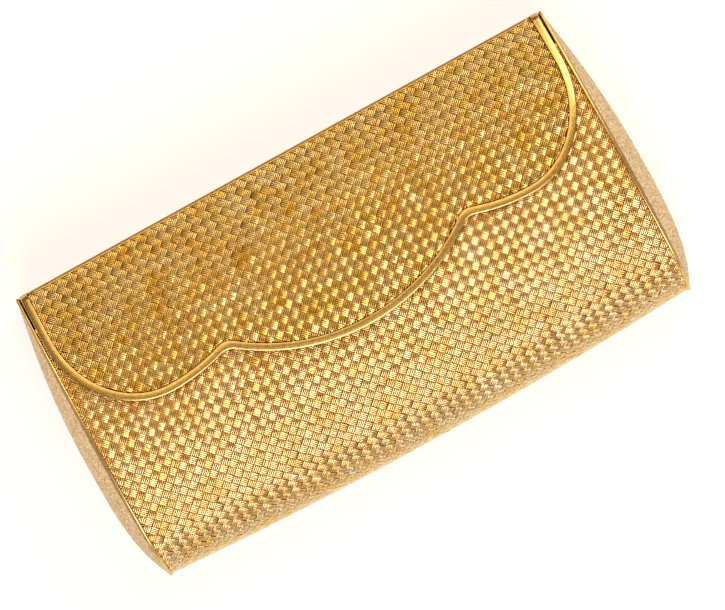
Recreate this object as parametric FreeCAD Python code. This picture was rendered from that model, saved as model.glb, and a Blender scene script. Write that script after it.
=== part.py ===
import FreeCAD, Part
import math
import os
from collections import namedtuple

Vec = FreeCAD.Vector

# A woven metal evening case, lying on its flat back. Millimetres.
# X runs along the case, Y from its bottom to its hinge, Z from its back to its crowned front.

# Case outline
case_length = 162.0  # over the two end plates, without their domes
case_height = 88.0  # bottom to top at the middle of the length
crest_height = 32.6  # highest line of the body's front, above the back
crest_below_middle = 2.0  # how far that line lies below mid height
upper_radius = 110.0  # crown of the front from the crest to the top
lower_radius = 80.0  # crown of the front from the crest to the bottom round
heel_radius = 8.0  # round where the bottom meets the back
bottom_bow = 2.5  # the bottom hangs this much lower at the middle than at the ends
station_shares = (-1.0, -0.5, 0.0, 0.5, 1.0)  # places of the sections along the half length

# Sheets
weave_thickness = 0.8
shell_thickness = 0.6
lining_thickness = 0.8
glue_gap = 0.05  # between sheets that are stuck or soldered together
seam_rise = 1.0  # the seam of front and back sheets, above the heel's round at the ends

# Ends
plate_thickness = 0.9
plate_proud = 0.6  # the plate's edge stands over the weave
dome_height = 4.9
dome_peak_share = 0.42  # share of the end's height at which the dome stands out most
dome_low_fullness = 3.3  # power of the dome's fall from there to the bottom
dome_high_fullness = 2.1  # power of its fall to the top
dome_wall = 0.8
dome_margin = 0.4  # the dome starts this far inside the weave's outer face
dome_shares = (0.012, 0.05, 0.12, 0.25, 0.4, 0.55, 0.7, 0.85, 0.95, 0.995)
dome_hollow_shares = (0.14, 0.25, 0.4, 0.55, 0.7, 0.85)

# Mouth
lip_below_top = 11.0
lip_height = 1.2

# Flap
flap_gap = 0.3  # under the flap, over the body's front
flap_side_gap = 0.4
flap_shell_thickness = 0.5
rim_width = 2.2
rim_proud = 0.3
bead_round = 0.5
side_run = 14.0  # straight part of each side, from the top edge down
side_lobe_depth = 42.3  # from the top edge to the side lobe's lowest point
side_lobe_reach = 55.0  # from the middle to that point
cusp_rise = 3.2  # the cusps lie this far above the side lobes' lowest points
cusp_reach = 36.8
middle_lobe_drop = 9.8  # the middle lobe hangs this far below the side lobes
round_share = 0.5523  # handle of a curve that follows a quarter of an ellipse

# Hinge
knuckle_radius = 1.6
knuckle_count = 13
knuckle_gap = 0.2
pin_radius = 0.7
pin_clearance = 0.04
pin_end_inset = 0.3
leaf_thickness = 0.6
leaf_length = 5.4

# Mirror inside the flap's top strip
mirror_length = 124.0
mirror_thickness = 1.2
bezel_border = 1.0
bezel_overlap = 0.6
bezel_lip = 0.5
bezel_above_leaf = 0.4
bezel_below_front = 2.4

# Divider inside the lining
divider_thickness = 0.8
divider_above_lining = 5.0
divider_below_lip = 6.0
divider_clearance = 0.1

# Catch
tongue_above_lobe = 6.1  # the tongue's middle, above the middle lobe's lowest point
tongue_width = 6.0
tongue_thickness = 1.0
tongue_reach = 6.4
notch_depth = 1.0
notch_height = 1.8
notch_above_tip = 1.7
well_side_room = 1.0  # between the tongue and the side of its well
well_low_room = 0.7  # below the tongue
well_swing_room = 4.9  # above the tongue, for its swing
well_floor_room = 0.5  # between the tongue's tip and the cover
bolt_length = 6.6
bolt_width = 2.0
bolt_height = 1.4
bolt_engagement = 0.6
bolt_bevel = 0.45
bolt_clearance = 0.05
spring_length = 3.2
spring_strip = 0.2
spring_width = 1.6
spring_folds = 4
box_wall = 1.0
box_end = 2.6
cover_thickness = 0.6
window_clearance = 0.2
screw_radius = 0.5
screw_length = 2.0
screw_head_radius = 0.8
screw_head_height = 0.5
screw_clearance = 0.03

overrun = 2.0  # every cut runs this far past what it cuts

# Places worked out from the sizes
half_span = case_length / 2
inner_half = half_span - plate_thickness
flap_half = inner_half - flap_side_gap
top = case_height / 2
crest_y = -crest_below_middle
lip_y = top - lip_below_top
seam_y = -top + bottom_bow + heel_radius + seam_rise
shell_inset = weave_thickness + shell_thickness
lining_inset = shell_inset + glue_gap
inside_inset = lining_inset + lining_thickness
flap_shell_outer = flap_gap + flap_shell_thickness
flap_outer = flap_shell_outer + weave_thickness
strip_outer_y = top - weave_thickness
strip_inner_y = strip_outer_y - flap_shell_thickness
axis_y = top - knuckle_radius
axis_z = knuckle_radius
back_top_y = axis_y - knuckle_radius - knuckle_gap
strip_low_z = axis_z + knuckle_radius + knuckle_gap
middle_lobe_depth = side_lobe_depth + middle_lobe_drop
tongue_y = top - middle_lobe_depth + tongue_above_lobe

Outline = namedtuple("Outline", "low heel_y toe_y toe_radius tangent_y tangent_z")


def save(shape, name):
    """Writes one node's solids."""
    shape.exportStep("parts/" + name + ".step")


def box(x0, x1, y0, y1, z0, z1):
    """A block between two corners."""
    return Part.makeBox(x1 - x0, y1 - y0, z1 - z0, Vec(x0, y0, z0))


def line(a, b):
    return Part.LineSegment(a, b).toShape()


def arc(a, b, c):
    return Part.Arc(a, b, c).toShape()


def polygon_face(points):
    return Part.Face(Part.makePolygon(points + points[:1]))


def on_circle(x, y, z, radius, angle):
    """A point of a circle in a section plane; angle 0 points to +Y and a quarter turn to +Z."""
    return Vec(x, y + radius * math.cos(angle), z + radius * math.sin(angle))


def outline_at(x, inset):
    """Centres and tangent point of the bottom's two rounds in the section at x."""
    low = -top + bottom_bow * (x / half_span) ** 2
    across = low - crest_y
    rise = heel_radius - (crest_height - lower_radius)
    toe_radius = (lower_radius**2 - across**2 - rise**2) / (2 * (across + lower_radius))
    toe_y = low + toe_radius
    lean = math.atan2(rise, toe_y - crest_y)
    tangent_y = crest_y + (lower_radius - inset) * math.cos(lean)
    tangent_z = crest_height - lower_radius + (lower_radius - inset) * math.sin(lean)
    return Outline(low, low + heel_radius, toe_y, toe_radius, tangent_y, tangent_z)


def crown_z(y, inset):
    """Height of the crowned front at y; a negative inset lies outside the body."""
    radius = upper_radius if y > crest_y else lower_radius
    return crest_height - radius + math.sqrt((radius - inset) ** 2 - (y - crest_y) ** 2)


def crown_edges(x, y_low, y_high, inset):
    """The two arcs of the crowned front, from y_low over the crest to y_high."""
    crest = Vec(x, crest_y, crest_height - inset)
    edges = []
    for y, radius in ((y_low, lower_radius), (y_high, upper_radius)):
        angle = math.acos((y - crest_y) / (radius - inset))
        middle = (angle + math.pi / 2) / 2
        centre_z = crest_height - radius
        end = on_circle(x, crest_y, centre_z, radius - inset, angle)
        edges.append(arc(end, on_circle(x, crest_y, centre_z, radius - inset, middle), crest))
    return edges


def body_wire(x, inset, high):
    """The body's closed section at x, drawn in by the inset and reaching up to high."""
    shape = outline_at(x, inset)
    heel_angle = 1.25 * math.pi
    toe_z = shape.tangent_z - heel_radius
    toe_angle = (math.pi + math.atan2(toe_z, shape.tangent_y - shape.toe_y)) / 2
    back_high = Vec(x, high, inset)
    back_low = Vec(x, shape.heel_y, inset)
    lowest = Vec(x, shape.low + inset, heel_radius)
    tangent = Vec(x, shape.tangent_y, shape.tangent_z)
    heel_middle = on_circle(x, shape.heel_y, heel_radius, heel_radius - inset, heel_angle)
    toe_middle = on_circle(x, shape.toe_y, heel_radius, shape.toe_radius - inset, toe_angle)
    lower, upper = crown_edges(x, shape.tangent_y, high, inset)
    front_high = Vec(x, high, crown_z(high, inset))
    return Part.Wire(
        [
            line(back_high, back_low),
            arc(back_low, heel_middle, lowest),
            arc(lowest, toe_middle, tangent),
            lower,
            upper,
            line(front_high, back_high),
        ]
    )


def body_block(inset, half_x, high):
    """The body's full form, drawn in by the inset."""
    wires = [body_wire(share * half_x, inset, high) for share in station_shares]
    return Part.makeLoft(wires, True, False)


def sleeve(outer_inset, inner_inset):
    """A bent sheet between two insets, open at the top and at both ends."""
    outer = body_block(outer_inset, inner_half, top)
    return outer.cut(body_block(inner_inset, inner_half + overrun, top + overrun))


def crown_block(inset, y_low, y_high, half_x):
    """Everything under the crowned front between two heights."""
    feet = [Vec(-half_x, y_low, 0), Vec(-half_x, y_high, 0)]
    tops = [Vec(-half_x, y, crown_z(y, inset)) for y in (y_low, y_high)]
    edges = crown_edges(-half_x, y_low, y_high, inset)
    edges += [line(feet[0], tops[0]), line(tops[1], feet[1]), line(feet[1], feet[0])]
    wire = Part.Wire(Part.__sortEdges__(edges))
    return Part.Face(wire).extrude(Vec(2 * half_x, 0, 0))


def in_front(y_high):
    """The space of the front sheet and the bottom, up to y_high and clear of the back sheet."""
    wide = half_span + overrun
    deep = -top - overrun
    high = crest_height + overrun
    lower = box(-wide, wide, deep, seam_y, -overrun, high)
    upper = box(-wide, wide, seam_y, y_high, heel_radius, high)
    return lower.fuse(upper).removeSplitter()


# Catch, placed first because the front sheet has its opening

tongue_tip_z = crown_z(tongue_y, -flap_gap) - tongue_reach
tongue_low_y = tongue_y - tongue_thickness / 2
tongue_high_y = tongue_y + tongue_thickness / 2
well_half = tongue_width / 2 + well_side_room
well_low_y = tongue_low_y - well_low_room
well_high_y = tongue_high_y + well_swing_room
notch_low_z = tongue_tip_z + notch_above_tip
bolt_z = notch_low_z + notch_height / 2
bolt_tip_x = -tongue_width / 2 + bolt_engagement
bolt_back_x = bolt_tip_x - bolt_length
spring_end_x = bolt_back_x - spring_length
box_floor_z = tongue_tip_z - well_floor_room
box_left_x = spring_end_x - box_wall
box_right_x = well_half + box_end
box_low_y = well_low_y - box_wall
box_high_y = well_high_y + box_wall
screw_places = (
    (bolt_back_x, tongue_y + bolt_width / 2 + 2 * screw_head_radius),
    (well_half + box_end / 2, (well_low_y + well_high_y) / 2),
)


def catch_well():
    """The opening that the flap's tongue swings through."""
    high_z = crest_height + overrun
    return box(-well_half, well_half, well_low_y, well_high_y, box_floor_z, high_z)


def catch_tongue():
    """A plate that hangs from the flap, with a notch in one edge."""
    half = tongue_width / 2
    plate = box(-half, half, tongue_low_y, tongue_high_y, tongue_tip_z, 2 * crest_height)
    plate = plate.common(crown_block(-flap_gap, seam_y, lip_y, flap_half))
    notch = box(
        -half - overrun,
        -half + notch_depth,
        tongue_low_y - overrun,
        tongue_high_y + overrun,
        notch_low_z,
        notch_low_z + notch_height,
    )
    return plate.cut(notch)


def catch_bolt():
    """A sliding bar with a nose bevelled above and below."""
    half = bolt_height / 2
    blunt = half - bolt_bevel
    low_y = tongue_y - bolt_width / 2
    points = [
        (bolt_back_x, -half),
        (bolt_tip_x - bolt_bevel, -half),
        (bolt_tip_x, -blunt),
        (bolt_tip_x, blunt),
        (bolt_tip_x - bolt_bevel, half),
        (bolt_back_x, half),
    ]
    face = polygon_face([Vec(x, low_y, bolt_z + z) for x, z in points])
    return face.extrude(Vec(0, bolt_width, 0))


def catch_spring():
    """A folded strip between the end of the channel and the bolt's back."""
    swing = (bolt_height - spring_strip) / 2
    fold = spring_length / spring_folds
    middle = [
        (spring_end_x + fold * i, bolt_z + swing * (-1) ** i) for i in range(spring_folds + 1)
    ]
    low_y = tongue_y - spring_width / 2
    over = [Vec(x, low_y, z + spring_strip / 2) for x, z in middle]
    under = [Vec(x, low_y, z - spring_strip / 2) for x, z in reversed(middle)]
    return polygon_face(over + under).extrude(Vec(0, spring_width, 0))


def catch_screw(x, y):
    """A cheese-headed screw that comes up through the cover."""
    low_z = box_floor_z - cover_thickness
    shank = Part.makeCylinder(screw_radius, cover_thickness + screw_length, Vec(x, y, low_z))
    head_z = low_z - screw_head_height
    return shank.fuse(Part.makeCylinder(screw_head_radius, screw_head_height, Vec(x, y, head_z)))


def screw_hole(x, y):
    low_z = box_floor_z - cover_thickness - overrun
    length = cover_thickness + screw_length + overrun + screw_clearance
    return Part.makeCylinder(screw_radius + screw_clearance, length, Vec(x, y, low_z))


def catch_box():
    """The housing of the bolt and its spring, soldered behind the front sheet."""
    block = box(box_left_x, box_right_x, box_low_y, box_high_y, box_floor_z, crest_height)
    block = block.common(crown_block(lining_inset, seam_y, lip_y, half_span))
    channel = box(
        spring_end_x,
        0,
        tongue_y - bolt_width / 2 - bolt_clearance,
        tongue_y + bolt_width / 2 + bolt_clearance,
        bolt_z - bolt_height / 2 - bolt_clearance,
        bolt_z + bolt_height / 2 + bolt_clearance,
    )
    block = block.cut(channel).cut(catch_well())
    for place in screw_places:
        block = block.cut(screw_hole(*place))
    return block


def catch_cover():
    """The plate that closes the housing from inside the case."""
    plate = box(
        box_left_x,
        box_right_x,
        box_low_y,
        box_high_y,
        box_floor_z - cover_thickness,
        box_floor_z,
    )
    for place in screw_places:
        plate = plate.cut(screw_hole(*place))
    return plate


# Body


def front_weave():
    return sleeve(0, weave_thickness).common(in_front(lip_y)).cut(catch_well())


def front_shell():
    return sleeve(weave_thickness, shell_inset).common(in_front(lip_y)).cut(catch_well())


def back_weave():
    return box(-inner_half, inner_half, seam_y, back_top_y, 0, weave_thickness)


def back_shell():
    return box(-inner_half, inner_half, seam_y, back_top_y, weave_thickness, shell_inset)


def lining():
    """A tray inside the sheets, with its own end walls and a window for the catch."""
    inside = inner_half - lining_thickness
    tray = body_block(lining_inset, inner_half, top)
    tray = tray.cut(body_block(inside_inset, inside, top + overrun))
    room = window_clearance
    window = box(
        box_left_x - room,
        box_right_x + room,
        box_low_y - room,
        box_high_y + room,
        box_floor_z,
        crest_height,
    )
    wide = half_span + overrun
    above = box(-wide, wide, lip_y, top + overrun, -overrun, crest_height + overrun)
    return tray.cut(window).cut(above)


def divider():
    """A flat partition that stands in the lining, parallel to the back."""
    inset = inside_inset + divider_clearance
    half = inner_half - lining_thickness - divider_clearance
    low_z = inside_inset + divider_above_lining
    slab = box(
        -half_span, half_span, -top, lip_y - divider_below_lip, low_z, low_z + divider_thickness
    )
    return slab.common(body_block(inset, half, top))


def mouth_lip():
    """The bar that caps weave, sheet and lining along the front of the mouth."""
    bar = sleeve(0, inside_inset)
    slot = box(-inner_half, inner_half, lip_y, lip_y + lip_height, heel_radius, crest_height)
    return bar.common(slot)


def end_plate(side):
    """A flat end with the body's outline; side is -1 on the left and 1 on the right."""
    face = Part.Face(body_wire(side * half_span, -plate_proud, top))
    plate = face.extrude(Vec(-side * plate_thickness, 0, 0))
    wide = half_span + overrun
    above_floor = box(-wide, wide, -case_height, case_height, 0, 2 * crest_height)
    return plate.common(above_floor)


def dome_section(side, share, inset, height, sunk):
    """One slice across the dome: an arc over the depth of the end at this share of its height."""
    x = side * half_span
    shape = outline_at(half_span, inset)
    low = shape.low + inset
    y = low + share * (top - inset - low)
    back_z = inset
    if y < shape.heel_y:
        back_z = heel_radius - math.sqrt((heel_radius - inset) ** 2 - (shape.heel_y - y) ** 2)
    if y < shape.tangent_y:
        reach = (shape.toe_radius - inset) ** 2 - (shape.toe_y - y) ** 2
        front_z = heel_radius + math.sqrt(reach)
    else:
        front_z = crown_z(y, inset)
    fall = (dome_peak_share - share) / dome_peak_share
    fullness = dome_low_fullness
    if share > dome_peak_share:
        fall = (share - dome_peak_share) / (1 - dome_peak_share)
        fullness = dome_high_fullness
    bulge = height * (1 - fall**fullness)
    crown = Vec(x + side * bulge, y, (back_z + front_z) / 2)
    foot = x - side * sunk
    edges = [arc(Vec(x, y, back_z), crown, Vec(x, y, front_z))]
    corners = [Vec(x, y, front_z), Vec(foot, y, front_z), Vec(foot, y, back_z), Vec(x, y, back_z)]
    if sunk == 0:
        corners = [corners[0], corners[-1]]
    edges += [line(a, b) for a, b in zip(corners, corners[1:])]
    return Part.Wire(edges)


def dome(side, shares, inset, height, sunk):
    wires = [dome_section(side, share, inset, height, sunk) for share in shares]
    return Part.makeLoft(wires, True, False)


def end_panel(side):
    """The domed cover of one end, hollow behind."""
    solid = dome(side, dome_shares, dome_margin, dome_height, 0)
    hollow = dome(
        side, dome_hollow_shares, dome_margin + 2 * dome_wall, dome_height - dome_wall, overrun
    )
    return solid.cut(hollow)


# Flap


def flap_plan(inset):
    """The flap's outline seen from the front, drawn in by the inset, as a tall block."""
    low_z = -overrun
    side_x = flap_half - inset
    side_y = top - side_run
    lobe_y = top - side_lobe_depth + inset
    middle_y = top - middle_lobe_depth + inset
    lobe_run = side_lobe_reach - cusp_reach
    lobe_radius = (lobe_run**2 + cusp_rise**2) / (2 * cusp_rise)
    middle_rise = middle_lobe_drop + cusp_rise
    middle_radius = (cusp_reach**2 + middle_rise**2) / (2 * middle_rise)
    lobe_centre = (side_lobe_reach, lobe_y - inset + lobe_radius)
    middle_centre = (0, middle_y - inset + middle_radius)
    cusp = circles_meet(lobe_centre, lobe_radius - inset, middle_centre, middle_radius - inset)
    between = (math.atan2(cusp[1] - lobe_centre[1], cusp[0] - lobe_centre[0]) - math.pi / 2) / 2
    lobe_middle = (
        lobe_centre[0] + (lobe_radius - inset) * math.cos(between),
        lobe_centre[1] + (lobe_radius - inset) * math.sin(between),
    )
    edges = []
    for side in (1, -1):
        corner = Vec(side * side_x, top + overrun, low_z)
        start = Vec(side * side_x, side_y, low_z)
        lowest = Vec(side * side_lobe_reach, lobe_y, low_z)
        curve = Part.BezierCurve()
        curve.setPoles(
            [
                start,
                start - Vec(0, round_share * (side_y - lobe_y), 0),
                lowest + Vec(side * round_share * (side_x - side_lobe_reach), 0, 0),
                lowest,
            ]
        )
        edges += [
            line(corner, start),
            curve.toShape(),
            arc(
                lowest,
                Vec(side * lobe_middle[0], lobe_middle[1], low_z),
                Vec(side * cusp[0], cusp[1], low_z),
            ),
        ]
    edges.append(
        arc(Vec(-cusp[0], cusp[1], low_z), Vec(0, middle_y, low_z), Vec(cusp[0], cusp[1], low_z))
    )
    edges.append(line(Vec(-side_x, top + overrun, low_z), Vec(side_x, top + overrun, low_z)))
    wire = Part.Wire(Part.__sortEdges__(edges))
    return Part.Face(wire).extrude(Vec(0, 0, 2 * crest_height))


def circles_meet(first, first_radius, second, second_radius):
    """The lower of the two points that two circles share."""
    dx = second[0] - first[0]
    dy = second[1] - first[1]
    apart = math.hypot(dx, dy)
    along = (first_radius**2 - second_radius**2 + apart**2) / (2 * apart)
    across = math.sqrt(first_radius**2 - along**2)
    points = [
        (
            first[0] + (along * dx + sign * across * dy) / apart,
            first[1] + (along * dy - sign * across * dx) / apart,
        )
        for sign in (1, -1)
    ]
    return min(points, key=lambda point: point[1])


def flap_band(inner, outer, y_high):
    """A sheet over the crowned front, between two heights above it."""
    under = crown_block(-inner, seam_y - overrun, y_high + overrun, half_span)
    return crown_block(-outer, seam_y, y_high, flap_half).cut(under)


def flap_strip(y_low, y_high, cover):
    """A part of the flap's top strip, from the hinge up to a height over the crowned front."""
    under = crown_block(-cover, seam_y, top, flap_half)
    return under.common(box(-flap_half, flap_half, y_low, y_high, strip_low_z, 2 * crest_height))


def flap_rim():
    """The raised border along the sides and the scallops."""
    band = flap_band(flap_gap, flap_outer + rim_proud, top)
    return band.common(flap_plan(0)).cut(flap_plan(rim_width))


def flap_shell(rim):
    """The bent sheet of the flap: its front inside the rim, and its top strip."""
    front = flap_band(flap_gap, flap_shell_outer, strip_outer_y).common(flap_plan(rim_width))
    strip = flap_strip(strip_inner_y, strip_outer_y, flap_shell_outer).cut(rim)
    return front.fuse(strip).removeSplitter()


def flap_weave():
    band = flap_band(flap_shell_outer, flap_outer, strip_outer_y)
    return band.common(flap_plan(rim_width))


def flap_top_weave(rim):
    return flap_strip(strip_outer_y, top, flap_shell_outer).cut(rim)


def flap_edge_bead():
    """The rounded bar along the fold of the flap."""
    band = flap_band(flap_shell_outer, flap_outer, top)
    half = flap_half - rim_width
    bar = band.common(box(-half, half, strip_outer_y, top, 0, 2 * crest_height))
    fold = max(
        (edge for edge in bar.Edges if edge.Length > half),
        key=lambda edge: edge.CenterOfMass.y + edge.CenterOfMass.z,
    )
    return bar.makeFillet(bead_round, [fold])


def knuckles(first, leaf):
    """Every second knuckle of the hinge from the first on, each with its leaf."""
    pitch = 2 * flap_half / knuckle_count
    length = pitch - knuckle_gap
    solids = []
    for i in range(first, knuckle_count, 2):
        x = -flap_half + pitch * i + knuckle_gap / 2
        start = Vec(x, axis_y, axis_z)
        tube = Part.makeCylinder(knuckle_radius, length, start, Vec(1, 0, 0))
        bore = Part.makeCylinder(
            pin_radius + pin_clearance, length + 2 * overrun, start - Vec(overrun, 0, 0), Vec(1, 0, 0)
        )
        solids.append(tube.fuse(leaf(x, x + length)).removeSplitter().cut(bore))
    return Part.makeCompound(solids)


def case_leaf(x0, x1):
    return box(x0, x1, axis_y - leaf_length, axis_y, shell_inset, shell_inset + leaf_thickness)


def flap_leaf(x0, x1):
    return box(
        x0, x1, strip_inner_y - leaf_thickness, strip_inner_y, axis_z, axis_z + leaf_length
    )


def hinge_pin():
    half = flap_half - pin_end_inset
    return Part.makeCylinder(pin_radius, 2 * half, Vec(-half, axis_y, axis_z), Vec(1, 0, 0))


def mirror_block(margin, y_low, y_high):
    """A block on the strip's inner face, round the mirror's place with a margin."""
    half = mirror_length / 2 + margin
    low_z = axis_z + leaf_length + bezel_above_leaf + bezel_border
    high_z = crown_z(strip_inner_y, -flap_gap) - bezel_below_front - bezel_border
    return box(-half, half, y_low, y_high, low_z - margin, high_z + margin)


def mirror_glass():
    return mirror_block(0, strip_inner_y - mirror_thickness, strip_inner_y)


def mirror_bezel():
    """A frame round the glass, with a lip over its edge."""
    low_y = strip_inner_y - mirror_thickness - bezel_lip
    frame = mirror_block(bezel_border, low_y, strip_inner_y)
    window = mirror_block(-bezel_overlap, low_y - overrun, strip_inner_y)
    return frame.cut(window).cut(mirror_glass())


os.makedirs("parts", exist_ok=True)

save(front_weave(), "front_weave")
save(front_shell(), "front_shell")
save(back_weave(), "back_weave")
save(back_shell(), "back_shell")
save(lining(), "lining")
save(divider(), "divider")
save(mouth_lip(), "mouth_lip")
for side, side_name in ((-1, "left"), (1, "right")):
    save(end_plate(side), "end_plate_" + side_name)
    save(end_panel(side), "end_panel_" + side_name)

border = flap_rim()
save(border, "flap_rim")
save(flap_shell(border), "flap_shell")
save(flap_weave(), "flap_weave")
save(flap_top_weave(border), "flap_top_weave")
save(flap_edge_bead(), "flap_edge_bead")
save(mirror_glass(), "mirror_glass")
save(mirror_bezel(), "mirror_bezel")

save(knuckles(0, case_leaf), "hinge_case_knuckles")
save(knuckles(1, flap_leaf), "hinge_flap_knuckles")
save(hinge_pin(), "hinge_pin")

save(catch_tongue(), "catch_tongue")
save(catch_bolt(), "catch_bolt")
save(catch_spring(), "catch_spring")
save(catch_box(), "catch_box")
save(catch_cover(), "catch_cover")
save(Part.makeCompound([catch_screw(*place) for place in screw_places]), "catch_screws")
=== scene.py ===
import math

import bmesh
import bpy
import numpy as np
from mathutils import Matrix, Vector


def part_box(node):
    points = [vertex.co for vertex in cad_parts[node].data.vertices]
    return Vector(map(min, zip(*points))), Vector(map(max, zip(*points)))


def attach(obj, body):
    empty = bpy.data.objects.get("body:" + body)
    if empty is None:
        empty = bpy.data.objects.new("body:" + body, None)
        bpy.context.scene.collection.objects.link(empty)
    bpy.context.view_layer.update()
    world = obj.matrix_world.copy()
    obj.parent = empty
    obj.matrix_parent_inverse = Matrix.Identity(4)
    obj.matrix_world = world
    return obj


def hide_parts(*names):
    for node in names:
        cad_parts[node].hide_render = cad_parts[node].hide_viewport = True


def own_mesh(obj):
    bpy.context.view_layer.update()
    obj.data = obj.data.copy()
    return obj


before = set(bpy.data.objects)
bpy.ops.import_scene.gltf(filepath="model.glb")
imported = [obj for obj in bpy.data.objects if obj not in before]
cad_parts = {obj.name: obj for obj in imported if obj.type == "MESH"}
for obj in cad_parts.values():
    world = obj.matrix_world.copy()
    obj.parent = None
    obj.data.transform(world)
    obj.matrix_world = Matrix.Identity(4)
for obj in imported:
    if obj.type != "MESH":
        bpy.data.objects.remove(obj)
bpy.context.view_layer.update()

# Sizes of the case, in millimetres, as the part's source has them
MM = 0.001
HALF_SPAN = 81.0
INNER_HALF = 80.1
TOP = 44.0
CREST_Z, CREST_Y = 32.6, -2.0
UPPER_RADIUS, LOWER_RADIUS, HEEL_RADIUS = 110.0, 80.0, 8.0
BOTTOM_BOW = 2.5
LIP_Y, SEAM_Y, BACK_TOP_Y = 33.0, -32.5, 40.6
PLATE_PROUD = 0.6
DOME_HEIGHT, DOME_MARGIN = 4.9, 0.4
DOME_PEAK, DOME_LOW_FULL, DOME_HIGH_FULL = 0.42, 3.3, 2.1
# The last of these is the width of the painted shade along a dome's edges
DOME_SEAT, STIPPLE, DOME_SEAM_SHADE = 0.05, 0.065, 0.5
STIPPLE_FROM_ENDS, STIPPLE_FROM_SIDES = 20, 8
SLIVER = 1e-3
FLAP_HALF, FLAP_OUTER, FLAP_GAP = 79.7, 1.6, 0.3
RIM_WIDTH, RIM_PROUD, SIDE_FALL = 2.2, 0.3, 0.45
STRIP_Y, STRIP_LOW_Z, FOLD_Z = 43.2, 3.4, 23.8
SIDE_Y = 30.0
LOBE_X, LOBE_Y = 55.0, 1.7
CUSP_RISE, CUSP_X = 3.2, 36.8
CUSP_CUT = 2.4
MIDDLE_Y = -8.1
HANDLE = 0.5523
SLOT_HALF, SLOT_LOW_Y, SLOT_HIGH_Y = 4.0, -3.2, 3.4
SPRING_FOLDS, SPRING_STRIP, SPRING_BLUNT, SPRING_EASE = 4, 0.2, 0.03, 0.02

# The weave: a wire's section and its fall along its length, in millimetres at shares of the pitch
PITCH = 2.16
WIRES = 4
REACH = 0.62 * PITCH
STATION_SHARES = np.array([0.0, 0.177, 0.823, 1.0])
WIRE_ACROSS = np.array([-0.215, -0.155, 0.155, 0.215, 0.0])
WIRE_HEIGHT = np.array([-0.20, 0.0, 0.0, -0.20, -0.34])
WIRE_FACING = np.radians([-78.0, -36.0, 36.0, 78.0, 180.0])
# Painted shade on each section corner: full on a wire's flanks and underside, none on its top
WIRE_SHADE = np.array([1.0, 0.0, 0.0, 1.0, 1.0])
FALL_AT = np.array([0.0, 0.40, 0.62])
FALL = np.array([0.0, 0.03, 0.38])
FALL_FACING = np.radians([0.0, 8.0, 58.0])
# Painted shade that grows along the fall at a wire's ends, where it dives under the next cell
FALL_SHADE = np.array([0.0, 0.05, 1.0])
WIRE_STEP = 0.237 * PITCH
SHORTEST_WIRE = 0.3
CELL_LEAN, WIRE_ROLL = 0.04, 0.14
CELL_TONE, WIRE_TONE = 0.7, 0.3
SLOT_ROOM, SEAM_ROOM, RIM_ROOM = 0.3, 0.1, 0.12
STRIP_ROOM, FOLD_ROOM, STRIP_CORNER = 0.3, 0.2, 1.0
BED_LIFT, BED_THICK, BED_UNDER_RIM = -0.755, 0.05, 0.1
BED_UNDER_FOLD, BED_UNDER_BAR = 0.1, 0.4

# Points along the curves of the flap's outline, the ends, the beds and the spring
SIDE_STEPS, CORNER_STEPS, LOBE_STEPS, CUSP_STEPS, MIDDLE_STEPS = 9, 49, 31, 9, 41
END_STEPS, END_TOP_STEPS = 61, 13
DOME_ROWS, DOME_COLUMNS, DOME_BACK_STEP = 241, 101, 20
BED_ROWS, BED_COLUMNS = 31, 161
SPRING_STEPS = 65

# Doubles nearer than this, in millimetres, are merged
DOUBLES = 1e-4


# Meshes


def put_mesh(name, points, face_sets, body, material, stands_for=(), merge=False, marks=None):
    """A smooth mesh from an array of points in millimetres and arrays of faces, riding on a body,
    with named numbers marked on its points."""
    mesh = bpy.data.meshes.new(name)
    points = np.asarray(points, float).reshape(-1, 3) * MM
    corners = np.concatenate([faces.ravel() for faces in face_sets])
    sizes = np.concatenate([np.full(len(faces), faces.shape[1]) for faces in face_sets])
    mesh.vertices.add(len(points))
    mesh.vertices.foreach_set("co", points.ravel())
    mesh.loops.add(len(corners))
    mesh.loops.foreach_set("vertex_index", corners.astype(np.int32))
    mesh.polygons.add(len(sizes))
    mesh.polygons.foreach_set("loop_start", (np.cumsum(sizes) - sizes).astype(np.int32))
    mesh.polygons.foreach_set("use_smooth", np.ones(len(sizes), bool))
    mesh.update(calc_edges=True)
    mesh.validate()
    for label, values in (marks or {}).items():
        attribute = mesh.attributes.new(label, "FLOAT", "POINT")
        attribute.data.foreach_set("value", np.ravel(values).astype(np.float32))
    if merge:
        work = bmesh.new()
        work.from_mesh(mesh)
        bmesh.ops.remove_doubles(work, verts=work.verts, dist=DOUBLES * MM)
        bmesh.ops.recalc_face_normals(work, faces=work.faces)
        work.to_mesh(mesh)
        work.free()
    mesh.materials.append(material)
    piece = bpy.data.objects.new(name, mesh)
    bpy.context.scene.collection.objects.link(piece)
    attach(piece, body)
    if stands_for:
        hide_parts(*stands_for)
    return piece


def grid_faces(rows, columns, close_rows=False, close_columns=False):
    """Quads of a grid of points, rows by columns, joined round where it closes."""
    i = np.arange(rows if close_rows else rows - 1)
    j = np.arange(columns if close_columns else columns - 1)
    i, j = (a.ravel() for a in np.meshgrid(i, j, indexing="ij"))
    down, right = (i + 1) % rows, (j + 1) % columns
    quads = (i * columns + j, i * columns + right, down * columns + right, down * columns + j)
    return np.stack(quads, axis=1)


def row_caps(rows, columns):
    """The faces that close a tube of rings, one ring to a row, at its first and last ring."""
    ring = np.arange(columns)
    return np.stack([ring[::-1], (rows - 1) * columns + ring])


def column_caps(rows, columns):
    """The faces that close a tube of rings, one ring to a column, at its first and last ring."""
    ring = np.arange(rows) * columns
    return np.stack([ring[::-1], ring + columns - 1])


# Skin of the case


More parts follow.
